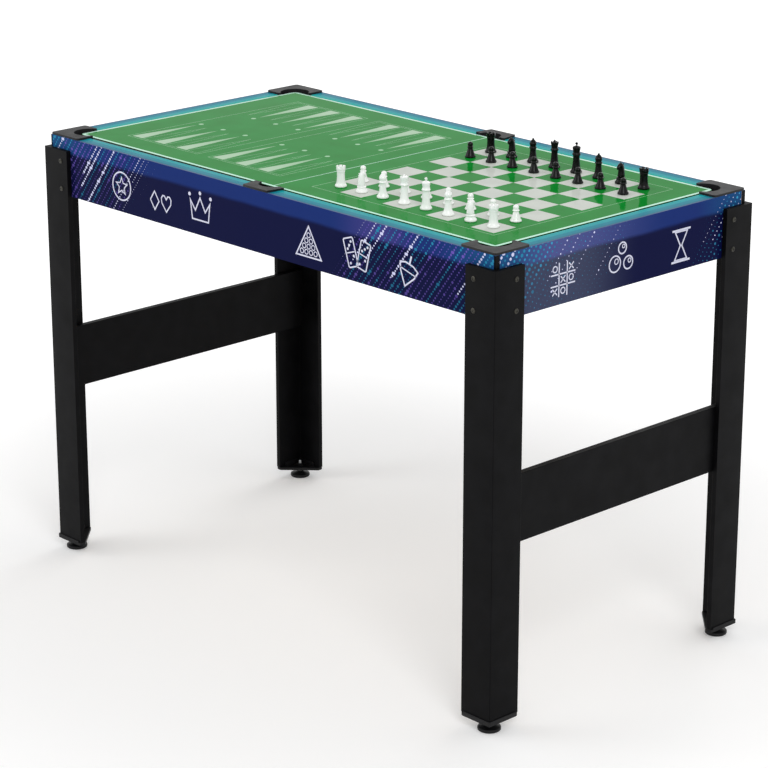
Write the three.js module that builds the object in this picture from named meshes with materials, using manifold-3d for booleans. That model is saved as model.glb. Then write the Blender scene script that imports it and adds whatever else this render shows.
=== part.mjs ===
// Multi-game table: a printed apron frame on four angle legs, with pocket mouldings, a cloth bed
// with cushions, a lift-out game board on top of it and a set of chess men standing on the board.
// Millimetres, +Z up, origin on the floor under the middle of the table, +X along its length.
import * as THREE from 'three';
import { mergeVertices } from 'three/addons/utils/BufferGeometryUtils.js';
import Module from 'manifold-3d';

const wasm = await Module();
wasm.setup();

// Overall sizes, over the outer faces of the legs and up to the top of the rails
const tableLength = 1120;
const tableWidth = 600;
const railTop = 785.5;

// Running gap between pieces that seat on each other, the overrun of every cut and the distance
// within which two vertices are one
const fitGap = 0.3;
const cutOverrun = 2;
const weldDistance = 0.00001;

// Apron panels, the rails glued inside their top edge and the cleats that carry the bed
const panelThickness = 9;
const panelDepth = 105;
const railWidth = 34;
const railChamfer = 2.5;
const cleatSize = 12;
const cleatClearance = 6;

// Cloth bed and its cushions
const bedDrop = 46;
const bedThickness = 9;
const cushionHeight = 30.7;
const cushionReach = 22;
const cushionBacking = 9;
const noseHeight = 22;
const noseThickness = 4;
const cushionHeel = 6;
const cushionJoint = 1;
const cornerJaw = 18;
const sideJaw = 10;
const jawClearance = 2;

// Cross bars under the bed
const barWidth = 18;
const barDepth = 40;
const barSpacing = 500;

// Pocket mouldings: a top plate over a hollow block, a throat and a cup below the bed
const cornerPocketRadius = 27;
const sidePocketRadius = 23;
const cornerPocketInset = 48;
const sidePocketInset = 39;
const pocketWall = 2.5;
const cupDepth = 44;
const plateThickness = 3.4;
const trimArm = 76;
const sideTrimLength = 78;
const trimBlockDepth = 29;
const trimCornerRadius = 6;

// Lift-out game board
const boardThickness = 15;
const boardClearance = 2;
const boardCornerRadius = 10;

// Angle legs of foil-wrapped board, bolted through the aprons
const legThickness = 9;
const legFlange = 64;
const legBottom = 24;
const legTopDrop = 21.5;
const legEdgeRadius = 1.5;
const boltInset = 46;
const boltDrop = 20;
const boltPitch = 50;
const boltHoleRadius = 3.5;

// Plastic cap under each leg
const capWall = 1.2;
const capPlate = 5.2;
const capLip = 2.8;
const capCornerRadius = 6;
const capRibThickness = 2;
const capRibHeight = 8;
const capRibSetback = 14;
const capBossRadius = 8;
const capBossHeight = 3;

// Screw-in levelling feet
const footInset = 22;
const padRadius = 19;
const padEdge = 2;
const padHeight = 6;
const padShoulder = 3.5;
const collarRadius = 7.5;
const studRadius = 4;
const studTip = 1;
const studStandOut = 9;

// End stretchers between the legs
const stretcherThickness = 12;
const stretcherHeight = 114;
const stretcherBottom = 310;

// Chess field printed in the middle of the board's right half, and the men
const chessCell = 50;
const manRadius = 10;
const pawnRadius = 9.4;
const pawnHeight = 27;
const rookHeight = 35;
const knightHeight = 38;
const bishopHeight = 42;
const queenHeight = 48;
const kingHeight = 46;
const crossHeight = 6;
const crossSpan = 5.2;
const crossThickness = 1.8;
const crenelWidth = 2.4;
const crenelDepth = 3;
const knightThickness = 7.5;
const knightCheek = 1;
const mitreSlot = 1;
const mitreSlotDepth = 4;
const mitreTilt = 35;

// Facets of a full turn
const pocketSegments = 28;
const holeSegments = 10;
const filletSegments = 3;
const capSegments = 2;
const footSegments = 18;
const manSegments = 12;
const pawnSegments = 10;

// Heights and half sizes that follow from the values above
const halfLength = tableLength / 2 - legThickness;
const halfWidth = tableWidth / 2 - legThickness;
const boardInset = railWidth + boardClearance;
const boardHalfLength = halfLength - boardInset;
const boardHalfWidth = halfWidth - boardInset;
const chessCentre = boardHalfLength / 2;
const apronBottom = railTop - panelDepth;
const bedTop = railTop - bedDrop;
const bedBottom = bedTop - bedThickness;
const boardBottom = bedTop + cushionHeight + fitGap;
const boardTop = boardBottom + boardThickness;
const legTop = railTop - legTopDrop;
const capBottom = legBottom - fitGap - capPlate;
const cupBottom = bedTop - cupDepth - pocketWall;
const blockBottom = railTop - trimBlockDepth;

// Finishes
const finish = (color, roughness, metalness = 0) =>
  new THREE.MeshStandardMaterial({ color, roughness, metalness });
const finishes = {
  apronPrint: finish('#1f2566', 0.4),
  blackFoil: finish('#1d1d20', 0.45),
  blackPlastic: finish('#3a3a3d', 0.5),
  cloth: finish('#2f7f4c', 0.95),
  rawBoard: finish('#a98f6a', 0.8),
  gamePrint: finish('#4a9c55', 0.25),
  footPlastic: finish('#18181a', 0.55),
  whiteMen: finish('#f2f4f0', 0.3),
  blackMen: finish('#141414', 0.3),
};

const table = new THREE.Group();

// A closed geometry as a solid: only positions are kept, and collapsed triangles are dropped
function solidOf(geometry) {
  const bare = geometry.clone();
  bare.deleteAttribute('normal');
  bare.deleteAttribute('uv');
  const merged = mergeVertices(bare, weldDistance);
  const index = merged.index.array;
  const kept = [];
  for (let i = 0; i < index.length; i += 3) {
    const [a, b, c] = [index[i], index[i + 1], index[i + 2]];
    if (a !== b && b !== c && c !== a) kept.push(a, b, c);
  }
  const vertProperties = new Float32Array(merged.attributes.position.array);
  return new wasm.Manifold(new wasm.Mesh({ numProp: 3, vertProperties, triVerts: new Uint32Array(kept) }));
}

function geometryOf(solid) {
  const mesh = solid.getMesh();
  const geometry = new THREE.BufferGeometry();
  geometry.setAttribute('position', new THREE.BufferAttribute(new Float32Array(mesh.vertProperties), 3));
  geometry.setIndex(new THREE.BufferAttribute(new Uint32Array(mesh.triVerts), 1));
  return geometry;
}

// A box between two corners
function block(low, high) {
  const size = high.map((value, axis) => value - low[axis]);
  const middle = high.map((value, axis) => (value + low[axis]) / 2);
  return solidOf(new THREE.BoxGeometry(...size).translate(...middle));
}

// A flat outline raised from one height to another
function prism(shape, bottom, top, curveSegments = filletSegments) {
  const geometry = new THREE.ExtrudeGeometry(shape, { depth: top - bottom, bevelEnabled: false, curveSegments });
  return solidOf(geometry.translate(0, 0, bottom));
}

function outline(points) {
  return new THREE.Shape(points.map(([x, y]) => new THREE.Vector2(x, y)));
}

// An upright round bar
function bar(x, y, radius, bottom, top, segments = pocketSegments) {
  const geometry = new THREE.CylinderGeometry(radius, radius, top - bottom, segments);
  return solidOf(geometry.rotateX(Math.PI / 2).translate(x, y, (bottom + top) / 2));
}

// A round hole cutter lying along X or Y
function crossDrill(axis, [x, y, z], radius, length) {
  const geometry = new THREE.CylinderGeometry(radius, radius, length, holeSegments);
  if (axis === 'x') geometry.rotateZ(Math.PI / 2);
  return solidOf(geometry.translate(x, y, z));
}

// A profile of [radius, height] pairs turned about the upright axis
function turned(profile, segments) {
  const points = profile.map(([radius, height]) => new THREE.Vector2(radius, height));
  return solidOf(new THREE.LatheGeometry(points, segments).rotateX(Math.PI / 2));
}

function place(name, solid, material, { at = [0, 0, 0], turn = 0 } = {}) {
  const mesh = new THREE.Mesh(geometryOf(solid), material);
  mesh.name = name;
  mesh.position.set(...at);
  mesh.rotation.z = turn;
  table.add(mesh);
}

// The four corners: a piece drawn with its outer corner at the origin and the table towards +X +Y
const corners = [
  { name: 'front_left', sideX: -1, sideY: -1, turn: 0 },
  { name: 'front_right', sideX: 1, sideY: -1, turn: Math.PI / 2 },
  { name: 'back_right', sideX: 1, sideY: 1, turn: Math.PI },
  { name: 'back_left', sideX: -1, sideY: 1, turn: -Math.PI / 2 },
];

// Aprons: a panel with a rail and a cleat on its inner face, drawn along X with the outer face at y = 0
function apron({ halfSpan, railRuns, cleatRuns, boltPlaces }) {
  let solid = block([-halfSpan, 0, apronBottom], [halfSpan, panelThickness, railTop]);
  const railOutline = outline([
    [panelThickness / 2, bedTop + fitGap],
    [railWidth, bedTop + fitGap],
    [railWidth, railTop - railChamfer],
    [railWidth - railChamfer, railTop],
    [panelThickness / 2, railTop],
  ]);
  for (const [start, end] of railRuns) {
    const rail = new THREE.ExtrudeGeometry(railOutline, { depth: end - start, bevelEnabled: false });
    rail.rotateX(Math.PI / 2).rotateZ(Math.PI / 2).translate(start, 0, 0);
    solid = solid.add(solidOf(rail));
  }
  const cleatTop = bedBottom - fitGap;
  for (const [start, end] of cleatRuns) {
    const low = [start, panelThickness / 2, cleatTop - cleatSize];
    solid = solid.add(block(low, [end, panelThickness + cleatSize, cleatTop]));
  }
  for (const x of boltPlaces) {
    for (const z of boltHeights) {
      const length = panelThickness + 2 * cutOverrun;
      solid = solid.subtract(crossDrill('y', [x, panelThickness / 2, z], boltHoleRadius, length));
    }
  }
  return solid;
}

const boltHeights = [legTop - boltDrop, legTop - boltDrop - boltPitch];
const boltPlaceX = tableLength / 2 - boltInset;
const boltPlaceY = tableWidth / 2 - boltInset;
const cornerKeepOut = cornerPocketInset + cornerPocketRadius + pocketWall + cleatClearance;
const sideKeepOut = sidePocketRadius + pocketWall + cleatClearance;
const railEndX = halfLength - trimArm - fitGap;
const railEndY = halfWidth - trimArm - fitGap;
const railStartX = sideTrimLength / 2 + fitGap;

function bothSides(start, end) {
  return [[-end, -start], [start, end]];
}

const longApron = apron({
  halfSpan: halfLength,
  railRuns: bothSides(railStartX, railEndX),
  cleatRuns: bothSides(sideKeepOut, halfLength - cornerKeepOut),
  boltPlaces: [-boltPlaceX, boltPlaceX],
});
const endSpan = halfWidth - panelThickness - fitGap;
const endApron = apron({
  halfSpan: endSpan,
  railRuns: [[-railEndY, railEndY]],
  cleatRuns: [[cornerKeepOut - halfWidth, halfWidth - cornerKeepOut]],
  boltPlaces: [-boltPlaceY, boltPlaceY],
});
place('apron_front', longApron, finishes.apronPrint, { at: [0, -halfWidth, 0] });
place('apron_back', longApron, finishes.apronPrint, { at: [0, halfWidth, 0], turn: Math.PI });
place('apron_right', endApron, finishes.apronPrint, { at: [halfLength, 0, 0], turn: Math.PI / 2 });
place('apron_left', endApron, finishes.apronPrint, { at: [-halfLength, 0, 0], turn: -Math.PI / 2 });

// Pocket mouldings, drawn with the outer faces of the aprons at x = 0 and y = 0
const plateBottom = railTop + fitGap;
const plateTop = plateBottom + plateThickness;
const skirt = panelThickness + fitGap;

// Adds the throat and cup of a pocket to a moulding, and opens it towards the bed
function withPocket(moulding, x, y, radius, playSide) {
  const outer = bar(x, y, radius + pocketWall, cupBottom, plateTop);
  const inner = bar(x, y, radius, cupBottom + pocketWall, plateTop + cutOverrun);
  return moulding.add(outer).subtract(playSide).subtract(inner);
}

// A flat outline from its corners. Those that carry a radius, [x, y, radius], are rounded
function roundedOutline(points) {
  const shape = new THREE.Shape();
  const corners = points.map(([x, y]) => new THREE.Vector2(x, y));
  let last = corners.at(-1);
  points.forEach(([x, y, radius = 0], i) => {
    const here = corners[i];
    const next = corners.at(i + 1 - points.length);
    const before = last.clone().sub(here).setLength(radius).add(here);
    const after = next.clone().sub(here).setLength(radius).add(here);
    if (i === 0) shape.moveTo(before.x, before.y);
    else shape.lineTo(before.x, before.y);
    if (radius > 0) shape.quadraticCurveTo(x, y, after.x, after.y);
    last = here;
  });
  return shape;
}

// An angle with its outer corner near the origin, its two arms of one width
function angleOutline(start, end, width, radius = 0) {
  return roundedOutline([
    [start, start, radius],
    [end, start, radius],
    [end, width],
    [width, width],
    [width, end],
    [start, end, radius],
  ]);
}

function cornerPocket() {
  const plate = prism(angleOutline(0, trimArm, railWidth, trimCornerRadius), plateBottom, plateTop);
  const shell = prism(angleOutline(skirt, trimArm, railWidth), blockBottom, plateBottom + plateThickness / 2);
  const hollow = angleOutline(skirt + pocketWall, trimArm - pocketWall, railWidth - pocketWall);
  const cavity = prism(hollow, blockBottom - cutOverrun, plateBottom);
  const edge = boardInset - fitGap;
  const reach = cornerPocketInset + cornerPocketRadius + pocketWall + cutOverrun;
  const playSide = block([edge, edge, bedTop], [reach, reach, plateTop + cutOverrun]);
  const moulding = plate.add(shell.subtract(cavity));
  return withPocket(moulding, cornerPocketInset, cornerPocketInset, cornerPocketRadius, playSide);
}

function sidePocket() {
  const half = sideTrimLength / 2;
  const plateOutline = roundedOutline([
    [-half, 0, trimCornerRadius],
    [half, 0, trimCornerRadius],
    [half, railWidth],
    [-half, railWidth],
  ]);
  const plate = prism(plateOutline, plateBottom, plateTop);
  const shell = block([-half, skirt, blockBottom], [half, railWidth, plateBottom + plateThickness / 2]);
  const cavityLow = [-half + pocketWall, skirt + pocketWall, blockBottom - cutOverrun];
  const cavity = block(cavityLow, [half - pocketWall, railWidth - pocketWall, plateBottom]);
  const reach = sidePocketInset + sidePocketRadius + pocketWall + cutOverrun;
  const playSide = block([-half, boardInset - fitGap, bedTop], [half, reach, plateTop + cutOverrun]);
  const moulding = plate.add(shell.subtract(cavity));
  return withPocket(moulding, 0, sidePocketInset, sidePocketRadius, playSide);
}

for (const { name, sideX, sideY, turn } of corners) {
  const at = [sideX * halfLength, sideY * halfWidth, 0];
  place(`corner_pocket_${name}`, cornerPocket(), finishes.blackPlastic, { at, turn });
}
place('side_pocket_front', sidePocket(), finishes.blackPlastic, { at: [0, -halfWidth, 0] });
place('side_pocket_back', sidePocket(), finishes.blackPlastic, { at: [0, halfWidth, 0], turn: Math.PI });

// Cloth bed with six cushions. A cushion's section is drawn as [distance from the rail, height]
function cushion(length, startJaw, endJaw) {
  const top = boardBottom - fitGap;
  const noseTop = bedTop + noseHeight + noseThickness;
  const section = outline([
    [fitGap, bedTop - cushionJoint],
    [cushionBacking, bedTop - cushionJoint],
    [cushionBacking, bedTop + cushionHeel],
    [cushionReach, bedTop + noseHeight],
    [cushionReach, noseTop],
    [cushionBacking, top],
    [fitGap, top],
  ]);
  const strip = new THREE.ExtrudeGeometry(section, { depth: length, bevelEnabled: false });
  strip.rotateX(Math.PI / 2).rotateZ(Math.PI / 2);
  const jaws = outline([[0, 0], [length, 0], [length - endJaw, cushionReach], [startJaw, cushionReach]]);
  return solidOf(strip).intersect(prism(jaws, bedTop - bedThickness, boardTop));
}

function poolBed() {
  const edge = panelThickness + fitGap;
  let solid = block(
    [edge - halfLength, edge - halfWidth, bedBottom],
    [halfLength - edge, halfWidth - edge, bedTop],
  );
  const cornerStart = cornerPocketInset + cornerPocketRadius + pocketWall + jawClearance;
  const sideStart = sidePocketRadius + pocketWall + jawClearance;
  const longCushion = cushion(halfLength - cornerStart - sideStart, sideJaw, cornerJaw);
  const longCushionMirrored = cushion(halfLength - cornerStart - sideStart, cornerJaw, sideJaw);
  const endCushion = cushion(2 * (halfWidth - cornerStart), cornerJaw, cornerJaw);
  const railX = halfLength - railWidth;
  const railY = halfWidth - railWidth;
  const seats = [
    [longCushion, sideStart, -railY, 0],
    [longCushionMirrored, cornerStart - halfLength, -railY, 0],
    [longCushion, -sideStart, railY, 180],
    [longCushionMirrored, halfLength - cornerStart, railY, 180],
    [endCushion, railX, cornerStart - halfWidth, 90],
    [endCushion, -railX, halfWidth - cornerStart, -90],
  ];
  for (const [piece, x, y, degrees] of seats) {
    solid = solid.add(piece.rotate([0, 0, degrees]).translate([x, y, 0]));
  }
  const wall = pocketWall + fitGap;
  for (const { sideX, sideY } of corners) {
    const x = sideX * (halfLength - cornerPocketInset);
    const y = sideY * (halfWidth - cornerPocketInset);
    const hole = bar(x, y, cornerPocketRadius + wall, bedBottom - cutOverrun, bedTop + cutOverrun);
    solid = solid.subtract(hole);
  }
  for (const side of [-1, 1]) {
    const y = side * (halfWidth - sidePocketInset);
    const hole = bar(0, y, sidePocketRadius + wall, bedBottom - cutOverrun, bedTop + cutOverrun);
    solid = solid.subtract(hole);
  }
  return solid;
}
place('pool_bed', poolBed(), finishes.cloth);

// Cross bars that stiffen the bed, between the cleats of the long aprons
const barTop = bedBottom - fitGap;
const barHalf = halfWidth - panelThickness - cleatSize - fitGap;
const crossBar = block([-barWidth / 2, -barHalf, barTop - barDepth], [barWidth / 2, barHalf, barTop]);
place('bed_bar_left', crossBar, finishes.rawBoard, { at: [-barSpacing / 2, 0, 0] });
place('bed_bar_right', crossBar, finishes.rawBoard, { at: [barSpacing / 2, 0, 0] });

// Lift-out game board, resting on the cushions inside the rails
function roundedRectangle(halfX, halfY, radius) {
  const shape = new THREE.Shape();
  shape.moveTo(radius - halfX, -halfY);
  shape.absarc(halfX - radius, radius - halfY, radius, -Math.PI / 2, 0, false);
  shape.absarc(halfX - radius, halfY - radius, radius, 0, Math.PI / 2, false);
  shape.absarc(radius - halfX, halfY - radius, radius, Math.PI / 2, Math.PI, false);
  shape.absarc(radius - halfX, radius - halfY, radius, Math.PI, 1.5 * Math.PI, false);
  return shape;
}
const boardShape = roundedRectangle(boardHalfLength, boardHalfWidth, boardCornerRadius);
place('game_board', prism(boardShape, boardBottom, boardTop), finishes.gamePrint);

// Legs, caps and levelling feet, drawn with the leg's outer corner at the origin
function leg() {
  const shape = new THREE.Shape();
  shape.moveTo(legEdgeRadius, 0);
  shape.lineTo(legFlange, 0);
  shape.lineTo(legFlange, legThickness);
  shape.lineTo(legThickness, legThickness);
  shape.lineTo(legThickness, legFlange);
  shape.lineTo(0, legFlange);
  shape.lineTo(0, legEdgeRadius);
  shape.absarc(legEdgeRadius, legEdgeRadius, legEdgeRadius, Math.PI, 1.5 * Math.PI, false);
  let solid = prism(shape, legBottom, legTop);
  const length = legThickness + 2 * cutOverrun;
  for (const z of boltHeights) {
    solid = solid.subtract(crossDrill('y', [boltInset, legThickness / 2, z], boltHoleRadius, length));
    solid = solid.subtract(crossDrill('x', [legThickness / 2, boltInset, z], boltHoleRadius, length));
  }
  return solid;
}

// The outline round an angle leg, grown by a margin, with its open side closed by a slant
function legHull(margin, far, radius = 0) {
  const end = legThickness + margin;
  return roundedOutline([[-margin, -margin], [far, -margin, radius], [far, end], [end, far], [-margin, far, radius]]);
}

function footCap() {
  const plateTopZ = legBottom - fitGap;
  const plate = prism(legHull(capWall + fitGap, legFlange, capCornerRadius), capBottom, plateTopZ, capSegments);
  const lipEnd = legFlange - capCornerRadius;
  const lip = prism(legHull(capWall + fitGap, lipEnd), plateTopZ - capPlate / 2, plateTopZ + capLip);
  const room = prism(legHull(fitGap, legFlange), plateTopZ, plateTopZ + capLip + cutOverrun);
  const inner = legThickness + fitGap;
  const ribTop = plateTopZ + capRibHeight;
  const ribEnd = legFlange - capRibSetback;
  const rest = plateTopZ - capPlate / 2;
  const ribX = block([inner, inner, rest], [ribEnd, inner + capRibThickness, ribTop]);
  const ribY = block([inner, inner, rest], [inner + capRibThickness, ribEnd, ribTop]);
  const boss = bar(footInset, footInset, capBossRadius, rest, plateTopZ + capBossHeight, footSegments);
  const bore = bar(footInset, footInset, studRadius + fitGap, capBottom - cutOverrun, ribTop, footSegments);
  return plate.add(lip.subtract(room)).add(ribX).add(ribY).add(boss).subtract(bore);
}

function levellingFoot() {
  const shoulder = padHeight + padShoulder;
  const collarTop = capBottom - fitGap;
  const studTop = legBottom + studStandOut;
  return turned([
    [0, 0],
    [padRadius - padEdge, 0],
    [padRadius, padEdge],
    [padRadius, padHeight],
    [collarRadius, shoulder],
    [collarRadius, collarTop],
    [studRadius, collarTop],
    [studRadius, studTop - studTip],
    [studRadius - studTip, studTop],
    [0, studTop],
  ], footSegments);
}

for (const { name, sideX, sideY, turn } of corners) {
  const at = [sideX * tableLength / 2, sideY * tableWidth / 2, 0];
  const reach = footInset;
  const footAt = [sideX * (tableLength / 2 - reach), sideY * (tableWidth / 2 - reach), 0];
  place(`leg_${name}`, leg(), finishes.blackFoil, { at, turn });
  place(`foot_cap_${name}`, footCap(), finishes.footPlastic, { at, turn });
  place(`levelling_foot_${name}`, levellingFoot(), finishes.footPlastic, { at: footAt });
}

// End stretchers, inside the legs
const stretcherHalf = halfWidth - fitGap;
const stretcher = block(
  [-stretcherThickness / 2, -stretcherHalf, stretcherBottom],
  [stretcherThickness / 2, stretcherHalf, stretcherBottom + stretcherHeight],
);
const stretcherPlace = halfLength - fitGap - stretcherThickness / 2;
place('end_stretcher_left', stretcher, finishes.blackFoil, { at: [-stretcherPlace, 0, 0] });
place('end_stretcher_right', stretcher, finishes.blackFoil, { at: [stretcherPlace, 0, 0] });

// Chess men. Each profile is given as shares of the man's base radius and of its height
const footShares = [[0, 0], [0.97, 0], [1, 0.045], [0.9, 0.11], [0.66, 0.16]];
const pawnShares = [
  [0, 0], [0.96, 0], [1, 0.07], [0.72, 0.19], [0.4, 0.36], [0.33, 0.6],
  [0.6, 0.66], [0.33, 0.73], [0.47, 0.84], [0.36, 0.95], [0, 1],
];
const rookShares = [
  ...footShares, [0.56, 0.24], [0.5, 0.6], [0.54, 0.72], [0.76, 0.8], [0.78, 1], [0.5, 1], [0.5, 0.9], [0, 0.9],
];
const knightBaseShares = [...footShares, [0.6, 0.22], [0.74, 0.27], [0.7, 0.33], [0, 0.33]];
const bishopShares = [
  ...footShares, [0.42, 0.25], [0.35, 0.56], [0.6, 0.61], [0.36, 0.67],
  [0.54, 0.76], [0.38, 0.89], [0.14, 0.94], [0.2, 0.97], [0, 1],
];
const queenShares = [
  ...footShares, [0.44, 0.24], [0.37, 0.6], [0.64, 0.66], [0.4, 0.71],
  [0.7, 0.9], [0.4, 0.92], [0.18, 0.96], [0, 1],
];
const kingShares = [
  ...footShares, [0.46, 0.24], [0.39, 0.62], [0.66, 0.68], [0.42, 0.74], [0.7, 0.94], [0.3, 1], [0, 1],
];
// Side view of the knight's head as shares of its base radius and its height, facing +X
const knightHeadShares = [
  [-0.62, 0.3], [0.5, 0.3], [0.34, 0.46], [0.3, 0.56], [0.52, 0.6], [0.9, 0.56], [1.02, 0.64],
  [0.78, 0.78], [0.44, 0.9], [0.3, 1], [0.12, 0.92], [-0.3, 0.84], [-0.62, 0.66], [-0.7, 0.46],
];

const scaled = (shares, radius, height) => shares.map(([r, h]) => [r * radius, h * height]);

const men = {
  pawn: () => turned(scaled(pawnShares, pawnRadius, pawnHeight), pawnSegments),
  rook: () => {
    let solid = turned(scaled(rookShares, manRadius, rookHeight), manSegments);
    const half = crenelWidth / 2;
    const low = rookHeight - crenelDepth;
    const slotAcross = block([-manRadius, -half, low], [manRadius, half, rookHeight + cutOverrun]);
    const slotAlong = block([-half, -manRadius, low], [half, manRadius, rookHeight + cutOverrun]);
    solid = solid.subtract(slotAcross);
    return solid.subtract(slotAlong);
  },
  knight: () => {
    const base = turned(scaled(knightBaseShares, manRadius, knightHeight), manSegments);
    const shape = outline(scaled(knightHeadShares, manRadius, knightHeight));
    const head = new THREE.ExtrudeGeometry(shape, {
      depth: knightThickness - 2 * knightCheek,
      bevelEnabled: true,
      bevelSegments: 1,
      bevelThickness: knightCheek,
      bevelSize: knightCheek,
      bevelOffset: -knightCheek,
    });
    head.rotateX(Math.PI / 2).translate(0, knightThickness / 2 - knightCheek, 0);
    return base.add(solidOf(head));
  },
  bishop: () => {
    const solid = turned(scaled(bishopShares, manRadius, bishopHeight), manSegments);
    const slotHeight = bishopHeight - mitreSlotDepth;
    const slot = block([mitreSlot, -manRadius, 0], [mitreSlotDepth + manRadius, manRadius, mitreSlot]);
    return solid.subtract(slot.rotate([0, -mitreTilt, 0]).translate([0, 0, slotHeight - mitreSlotDepth]));
  },
  queen: () => turned(scaled(queenShares, manRadius, queenHeight), manSegments),
  king: () => {
    const half = crossThickness / 2;
    const solid = turned(scaled(kingShares, manRadius, kingHeight), manSegments);
    const post = block([-half, -half, kingHeight - crossThickness], [half, half, kingHeight + crossHeight]);
    const armLow = kingHeight + crossHeight / 2 - half;
    const arms = block([-crossSpan / 2, -half, armLow], [crossSpan / 2, half, armLow + crossThickness]);
    return solid.add(post).add(arms);
  },
};

// Files run from a at -X to h at +X, white on the ranks nearest the front
const backRank = ['rook', 'knight', 'bishop', 'queen', 'king', 'bishop', 'knight', 'rook'];
const fileNames = ['a', 'b', 'c', 'd', 'e', 'f', 'g', 'h'];
const sides = [
  { colour: 'white', material: finishes.whiteMen, ranks: [1, 2], turn: Math.PI / 2 },
  { colour: 'black', material: finishes.blackMen, ranks: [8, 7], turn: -Math.PI / 2 },
];
const middleOfBoard = (backRank.length + 1) / 2;
for (const { colour, material, ranks, turn } of sides) {
  backRank.forEach((kind, file) => {
    const x = chessCentre + (file + 1 - middleOfBoard) * chessCell;
    const [backY, pawnY] = ranks.map((rank) => (rank - middleOfBoard) * chessCell);
    const z = boardTop + fitGap;
    place(`${colour}_${kind}_${fileNames[file]}`, men[kind](), material, { at: [x, backY, z], turn });
    place(`${colour}_pawn_${fileNames[file]}`, men.pawn(), material, { at: [x, pawnY, z], turn });
  });
}

export default table;
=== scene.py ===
import math

import bmesh
import bpy
from mathutils import Matrix, Vector


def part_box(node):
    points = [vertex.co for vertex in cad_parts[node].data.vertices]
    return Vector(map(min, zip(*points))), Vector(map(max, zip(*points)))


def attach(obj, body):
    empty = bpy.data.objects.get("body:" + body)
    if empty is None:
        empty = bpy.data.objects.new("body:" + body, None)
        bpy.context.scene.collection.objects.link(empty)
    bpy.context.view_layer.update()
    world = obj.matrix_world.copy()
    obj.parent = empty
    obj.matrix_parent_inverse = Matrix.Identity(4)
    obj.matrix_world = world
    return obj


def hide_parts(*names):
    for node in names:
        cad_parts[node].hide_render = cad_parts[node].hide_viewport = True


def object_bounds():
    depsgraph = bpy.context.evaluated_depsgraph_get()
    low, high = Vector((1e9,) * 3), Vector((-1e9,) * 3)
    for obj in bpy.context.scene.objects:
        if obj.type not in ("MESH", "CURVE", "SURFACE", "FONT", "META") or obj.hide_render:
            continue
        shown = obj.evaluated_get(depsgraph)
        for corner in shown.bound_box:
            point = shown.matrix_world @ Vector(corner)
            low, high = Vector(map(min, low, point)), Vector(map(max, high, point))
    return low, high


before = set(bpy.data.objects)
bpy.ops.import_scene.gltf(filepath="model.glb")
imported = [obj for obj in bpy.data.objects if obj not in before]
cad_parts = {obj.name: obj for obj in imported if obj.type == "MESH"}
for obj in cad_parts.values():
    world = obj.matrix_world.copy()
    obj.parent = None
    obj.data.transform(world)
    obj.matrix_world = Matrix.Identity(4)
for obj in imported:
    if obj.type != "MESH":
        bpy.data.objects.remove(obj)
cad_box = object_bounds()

# A multi-game table: printed aprons and rails, black foiled legs, pocket mouldings, a cloth bed under
# a lift-out board printed for backgammon and chess, and the chess men on it. Metres throughout.

MM = 0.001
FIT = 0.3 * MM  # the gap between parts that fit into each other

board_low, board_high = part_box("game_board")
apron_low, apron_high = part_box("apron_front")
BOARD_TOP = board_high.z
HALF_LENGTH = apron_high.x
HALF_WIDTH = -apron_low.y
APRON_FOOT = apron_low.z
RAIL_TOP = apron_high.z


# Small helpers

def ink(code):
    """An sRGB hex value as linear RGBA."""
    channels = [int(code[i:i + 2], 16) / 255 for i in (1, 3, 5)]
    return tuple(c / 12.92 if c <= 0.04045 else ((c + 0.055) / 1.055) ** 2.4 for c in channels) + (1,)


def add(tree, kind, inputs=(), output=None, **settings):
    """Adds a node with its settings, and puts values or links on its inputs, by name or in their order. Gives
    the output of that name or the first one in use, or the node where it has none."""
    made = tree.nodes.new(f"ShaderNode{kind}")
    for name, value in settings.items():
        setattr(made, name, value)
    if isinstance(inputs, dict):
        filled = [(made.inputs[name], value) for name, value in inputs.items()]
    else:
        filled = zip([socket for socket in made.inputs if socket.enabled], inputs)
    for socket, value in filled:
        if isinstance(value, bpy.types.NodeSocket):
            tree.links.new(value, socket)
        else:
            socket.default_value = value
    if output:
        return made.outputs[output]
    return next((socket for socket in made.outputs if socket.enabled), made)


def surface(name, **sockets):
    """A material with one Principled shader. Sockets are named with underscores for spaces."""
    material = bpy.data.materials.new(name)
    material.use_nodes = True
    tree = material.node_tree
    tree.nodes.clear()
    shader = add(tree, "BsdfPrincipled", {key.replace("_", " "): value for key, value in sockets.items()})
    add(tree, "OutputMaterial", {"Surface": shader})
    return material, tree, shader.node


def join(tree, source, shader, socket):
    tree.links.new(source, shader.inputs[socket])


def finished(name, shape, body, materials, slot, smooth_angle=35, modifiers=()):
    """Makes a piece from a bmesh, shades it, gives it its materials and lets it ride on a body."""
    for edge in shape.edges:
        if len(edge.link_faces) == 2:
            edge.smooth = edge.calc_face_angle(0) < math.radians(smooth_angle)
    for face in shape.faces:
        face.smooth = True
    mesh = bpy.data.meshes.new(name)
    shape.to_mesh(mesh)
    shape.free()
    for material in materials:
        mesh.materials.append(material)
    piece = bpy.data.objects.new(name, mesh)
    bpy.context.scene.collection.objects.link(piece)
    for kind, settings in modifiers:
        modifier = piece.modifiers.new(kind.title(), kind)
        for key, value in settings.items():
            setattr(modifier, key, value)
    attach(piece, body)
    return piece


def stand_in(node, finish, shape, materials, slot, body="table", **looks):
    """A finished piece that is shown in place of a CAD node and is named after it."""
    piece = finished(f"{node}_{finish}", shape, body, materials, slot, **looks)
    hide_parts(node)


def edge_break(width, segments=2):
    """A small rounding on every sharp edge, which catches the light as on the real piece."""
    return ("BEVEL", dict(width=width, segments=segments, limit_method="ANGLE", angle_limit=math.radians(40),
                          harden_normals=True, use_clamp_overlap=True))


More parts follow.
